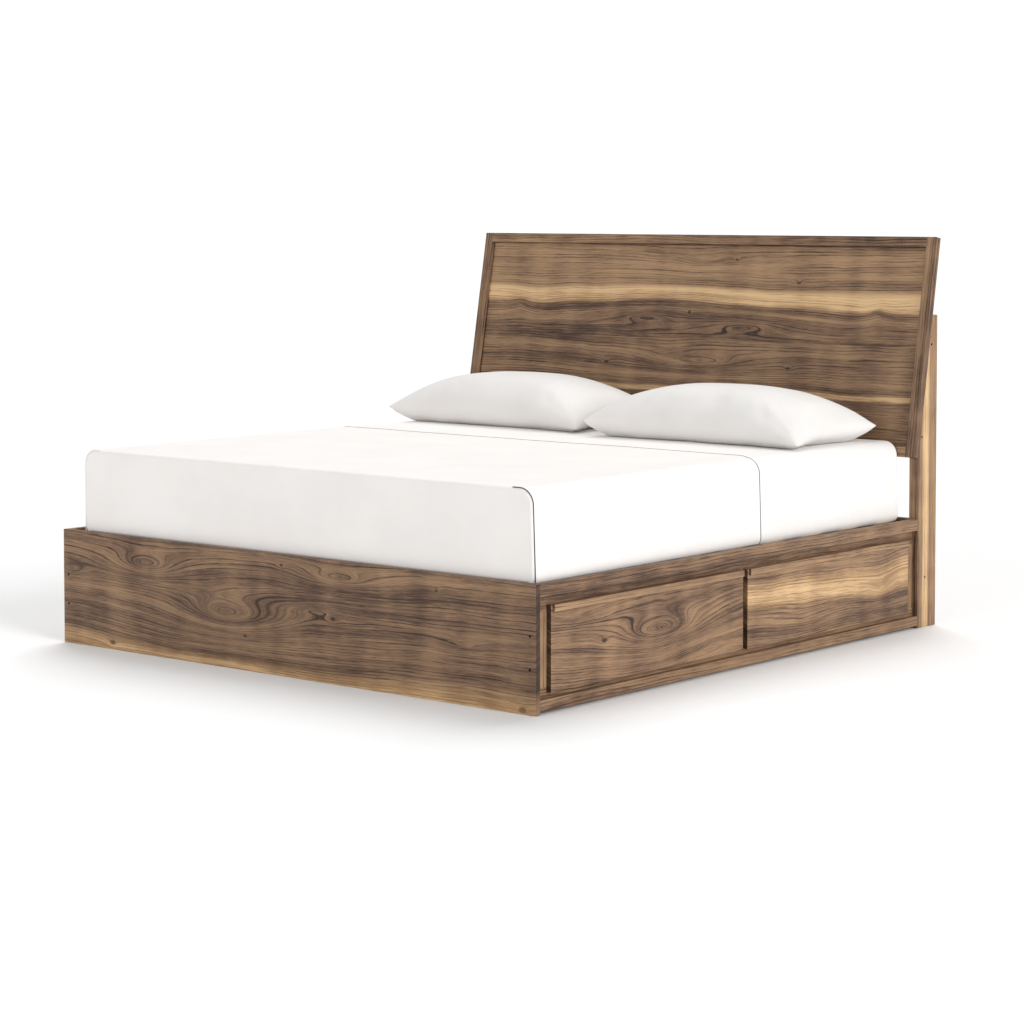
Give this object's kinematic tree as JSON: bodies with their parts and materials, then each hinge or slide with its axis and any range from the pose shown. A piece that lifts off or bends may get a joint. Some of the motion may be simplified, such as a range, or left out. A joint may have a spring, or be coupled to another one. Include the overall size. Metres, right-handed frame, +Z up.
{
  "type": "platform bed",
  "caption": "King-size walnut platform bed with a leaning framed headboard, storage drawers on one side, mattress and pillows.",
  "frame": {"origin": "on the floor, under the middle of the outer box of the closed bed", "axes": "+X across the bed towards the drawer side, +Y from foot to head, +Z up"},
  "size_m": [2.0454, 2.2026, 1.3472],
  "materials": {
    "walnut": "satin lacquer over walnut",
    "inner_wood": "unstained matt wood",
    "slat_wood": "planed bare wood",
    "white_cotton": "woven cotton"
  },
  "bodies": {
    "bed_frame": {"footboard_panel": "walnut", "left_post": "walnut", "right_post": "walnut", "headboard_left_stile": "walnut", "headboard_right_stile": "walnut", "headboard_top_rail": "walnut", "headboard_bottom_rail": "walnut", "headboard_upper_plank": "walnut", "headboard_lower_plank": "walnut", "head_rail": "walnut", "rear_brace": "walnut", "left_side_rail": "walnut", "right_top_rail": "walnut", "right_bottom_rail": "walnut", "face_foot_stile": "walnut", "face_centre_stile": "walnut", "face_head_stile": "walnut", "face_top_member": "walnut", "face_bottom_member": "walnut", "case_foot_panel": "inner_wood", "case_head_panel": "inner_wood", "case_divider": "inner_wood", "case_floor": "inner_wood", "case_back": "inner_wood", "runner_foot_a": "inner_wood", "runner_foot_b": "inner_wood", "runner_head_a": "inner_wood", "runner_head_b": "inner_wood", "left_slat_ledge": "inner_wood", "right_slat_ledge": "inner_wood", "centre_beam": "inner_wood", "beam_leg_1": "inner_wood", "beam_leg_2": "inner_wood", "slat_1": "slat_wood", "slat_2": "slat_wood", "slat_3": "slat_wood", "slat_4": "slat_wood", "slat_5": "slat_wood", "slat_6": "slat_wood", "slat_7": "slat_wood", "slat_8": "slat_wood", "slat_9": "slat_wood", "mattress": "white_cotton", "flat_sheet": "white_cotton", "pillow_left": "white_cotton", "pillow_right": "white_cotton"},
    "drawer_foot": {"drawer_foot_front": "walnut", "drawer_foot_pull": "walnut", "drawer_foot_side_a": "inner_wood", "drawer_foot_side_b": "inner_wood", "drawer_foot_back": "inner_wood", "drawer_foot_bottom": "inner_wood"},
    "drawer_head": {"drawer_head_front": "walnut", "drawer_head_pull": "walnut", "drawer_head_side_a": "inner_wood", "drawer_head_side_b": "inner_wood", "drawer_head_back": "inner_wood", "drawer_head_bottom": "inner_wood"}
  },
  "joints": [
    {"name": "drawer_foot_slide", "type": "slide", "parent": "bed_frame", "child": "drawer_foot", "axis": [1, 0, 0], "range_m": [0, 0.4]},
    {"name": "drawer_head_slide", "type": "slide", "parent": "bed_frame", "child": "drawer_head", "axis": [1, 0, 0], "range_m": [0, 0.4]}
  ]
}
